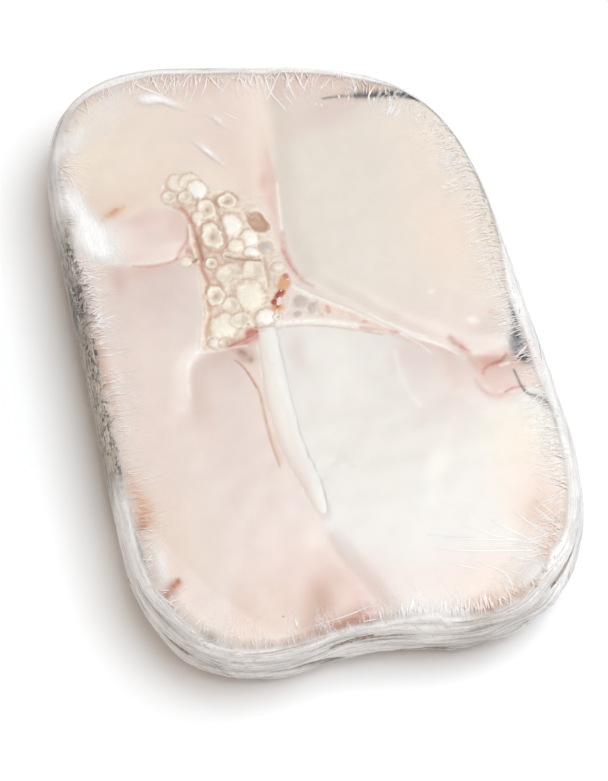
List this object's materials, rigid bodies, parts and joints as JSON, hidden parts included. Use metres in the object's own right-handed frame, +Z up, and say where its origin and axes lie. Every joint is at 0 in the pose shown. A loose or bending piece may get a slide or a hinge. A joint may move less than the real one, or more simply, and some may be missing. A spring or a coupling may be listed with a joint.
{
  "type": "frozen hake steak in clear wrap",
  "caption": "Thick rounded block steak cut across a hake, with vertebra, wing bone and spine in the cut face, shrink wrapped in clear film.",
  "frame": {"origin": "centre of the resting face, on the table", "axes": "+Z up through the slice, +Y along its long side towards the back of the fish, +X to the right seen from above"},
  "size_m": [0.0982, 0.1452, 0.022],
  "materials": {
    "flesh": "pale raw white fish, moist under clear film, pink and cream patches",
    "skin": "silver grey fish skin with dark dashes, seen through wrinkled film",
    "bone": "cream spongy bone with round cells and brown seams",
    "grey_bone": "greyish pink translucent bone with round cells",
    "white_bone": "smooth white spine bone, waxy",
    "blood": "soft red and brown vessel remains",
    "film": "thin clear shrink film with fine white pleats and gathered folds"
  },
  "bodies": {
    "root": {"wrapped_steak": "flesh", "vertebra": "bone", "wing_bone": "grey_bone", "spine_bone": "white_bone"}
  },
  "joints": []
}
